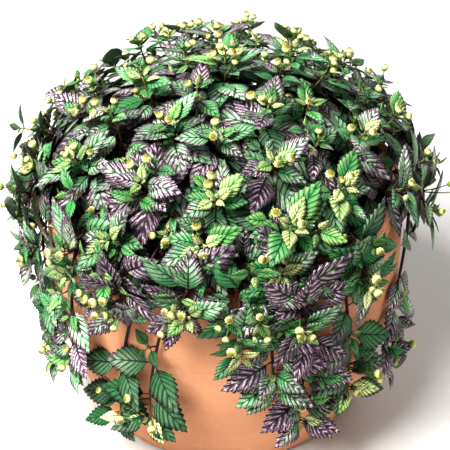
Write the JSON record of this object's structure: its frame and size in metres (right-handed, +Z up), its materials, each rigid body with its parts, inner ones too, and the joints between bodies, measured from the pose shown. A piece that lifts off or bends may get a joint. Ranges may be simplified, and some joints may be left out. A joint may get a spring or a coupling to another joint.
{
  "type": "potted aztec sweet herb",
  "caption": "Dense trailing herb with toothed green and purple leaves and small conical flower heads, in a round terracotta pot of soil.",
  "frame": {"origin": "centre of the pot's underside, on the surface that the pot stands on", "axes": "+Z up; the side that the picture shows faces -Y, with +X to its right"},
  "size_m": [0.4504, 0.4604, 0.3964],
  "materials": {
    "terracotta": "matt unglazed clay, finely pitted, with pale bloom and soft darker patches",
    "potting_soil": "moist dark crumbly potting mix",
    "green_foliage": "fresh green quilted leaves with pale young tips, maroon stems and cream flower heads",
    "bronze_foliage": "green quilted leaves flushed bronze purple, maroon stems and cream flower heads",
    "purple_foliage": "dark purple quilted leaves with paler ridges, maroon stems and cream flower heads"
  },
  "bodies": {
    "root": {"pot": "terracotta", "soil": "potting_soil", "leafy_stem_01": "purple_foliage", "leafy_stem_02": "green_foliage", "leafy_stem_03": "bronze_foliage", "leafy_stem_04": "bronze_foliage", "leafy_stem_05": "bronze_foliage", "leafy_stem_06": "green_foliage", "leafy_stem_07": "green_foliage", "leafy_stem_08": "green_foliage", "leafy_stem_09": "bronze_foliage", "leafy_stem_10": "green_foliage", "leafy_stem_11": "green_foliage", "leafy_stem_12": "purple_foliage", "leafy_stem_13": "purple_foliage", "leafy_stem_14": "green_foliage", "leafy_stem_15": "green_foliage", "leafy_stem_16": "purple_foliage", "leafy_stem_17": "green_foliage", "leafy_stem_18": "green_foliage", "leafy_stem_19": "green_foliage", "leafy_stem_20": "green_foliage", "leafy_stem_21": "bronze_foliage", "leafy_stem_22": "bronze_foliage", "leafy_stem_23": "bronze_foliage", "leafy_stem_24": "green_foliage", "leafy_stem_25": "green_foliage", "leafy_stem_26": "purple_foliage", "leafy_stem_27": "bronze_foliage", "leafy_stem_28": "green_foliage", "leafy_stem_29": "purple_foliage", "leafy_stem_30": "green_foliage", "leafy_stem_31": "purple_foliage", "leafy_stem_32": "green_foliage", "leafy_stem_33": "purple_foliage", "leafy_stem_34": "bronze_foliage", "leafy_stem_35": "purple_foliage", "leafy_stem_36": "green_foliage", "leafy_stem_37": "green_foliage", "leafy_stem_38": "bronze_foliage", "leafy_stem_39": "purple_foliage", "leafy_stem_40": "green_foliage", "leafy_stem_41": "green_foliage", "leafy_stem_42": "green_foliage", "leafy_stem_43": "bronze_foliage", "leafy_stem_44": "green_foliage", "leafy_stem_45": "purple_foliage", "leafy_stem_46": "purple_foliage", "trailing_stem_47": "green_foliage", "trailing_stem_48": "green_foliage", "trailing_stem_49": "purple_foliage", "trailing_stem_50": "purple_foliage", "trailing_stem_51": "green_foliage", "trailing_stem_52": "purple_foliage", "trailing_stem_53": "purple_foliage", "trailing_stem_54": "bronze_foliage", "trailing_stem_55": "bronze_foliage", "trailing_stem_56": "purple_foliage", "trailing_stem_57": "bronze_foliage", "trailing_stem_58": "green_foliage"}
  },
  "joints": []
}
